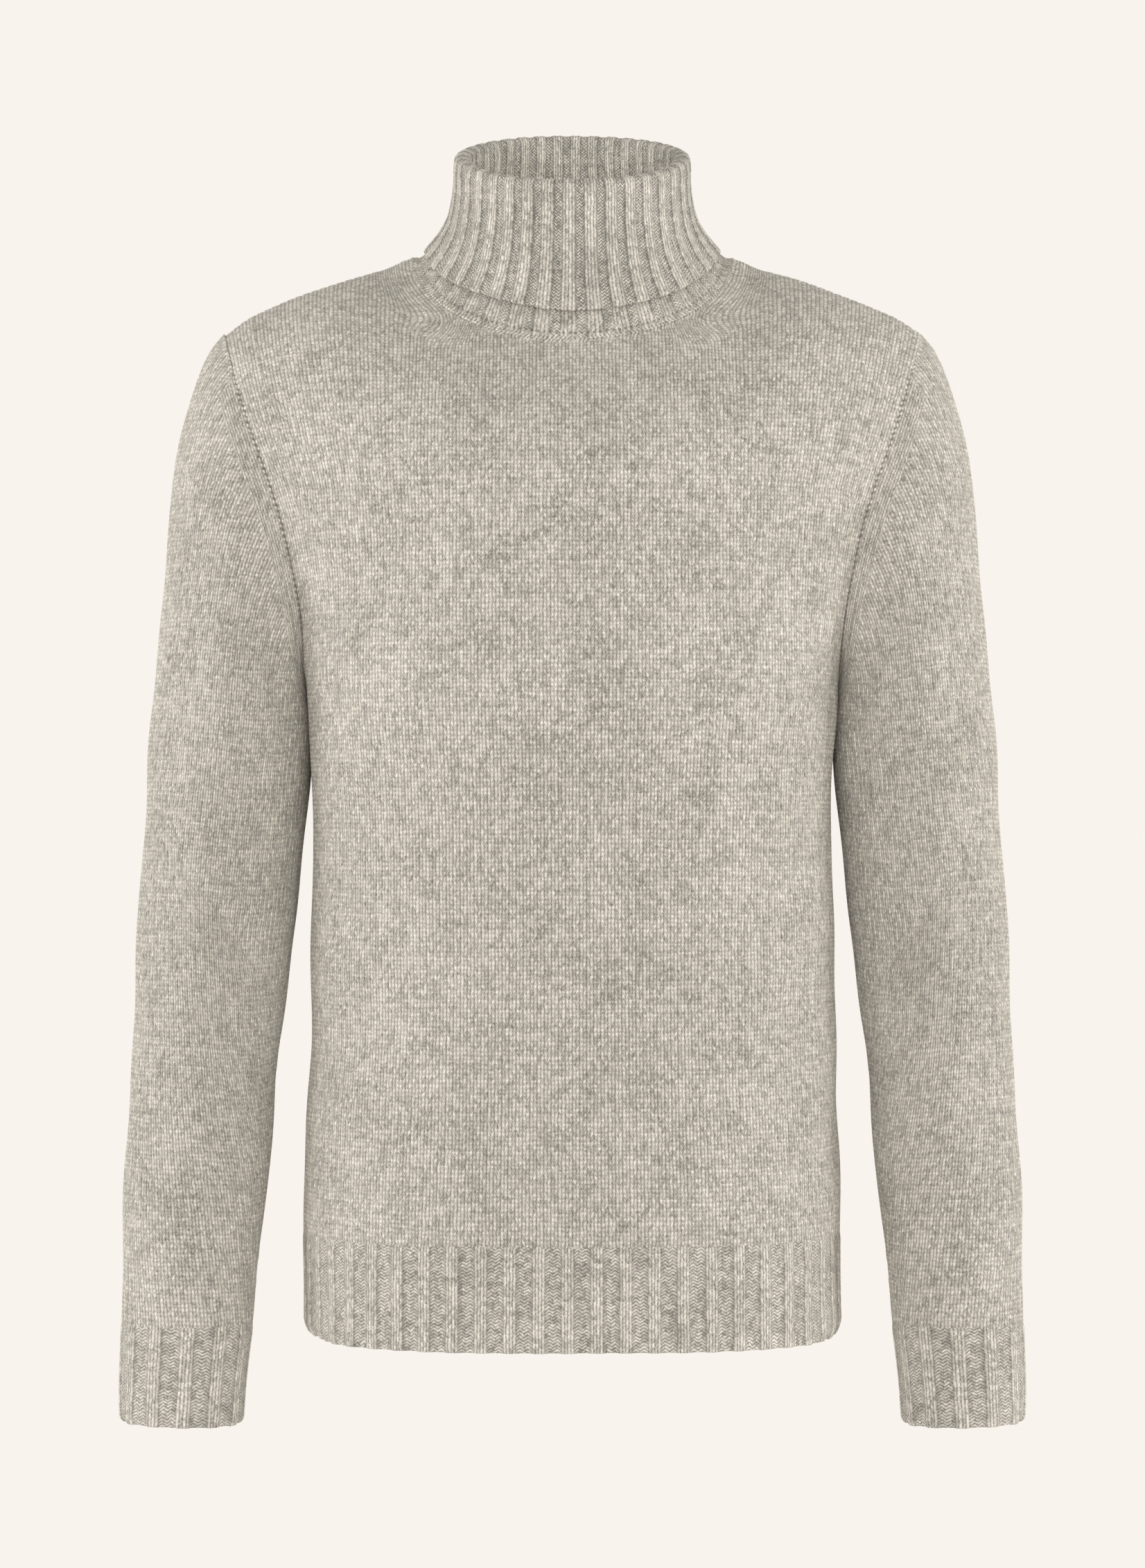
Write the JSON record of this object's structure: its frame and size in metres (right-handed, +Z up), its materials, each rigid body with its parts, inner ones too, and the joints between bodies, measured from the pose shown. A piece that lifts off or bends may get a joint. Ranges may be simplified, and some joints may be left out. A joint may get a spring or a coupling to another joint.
{
  "type": "turtleneck sweater",
  "caption": "Long-sleeved knitted pullover with a folded roll neck and ribbed hem and cuffs, filled out as worn.",
  "frame": {"origin": "midway between the two points where the neckline meets the shoulders, the place a wearer's neck base holds up", "axes": "+Z up, -Y out of the garment's front, +X to the viewer's right when the front is seen"},
  "size_m": [0.5548, 0.2566, 0.8066],
  "materials": {
    "plain_knit": "soft brushed wool in plain stocking stitch, grey-beige heather, matt",
    "rib_knit": "soft brushed wool in 2 x 2 rib, grey-beige heather, matt"
  },
  "bodies": {
    "root": {"front_body": "plain_knit", "back_body": "plain_knit", "sleeve_left": "plain_knit", "sleeve_right": "plain_knit", "hem_rib_front": "rib_knit", "hem_rib_back": "rib_knit", "cuff_left": "rib_knit", "cuff_right": "rib_knit", "collar": "rib_knit"}
  },
  "joints": []
}
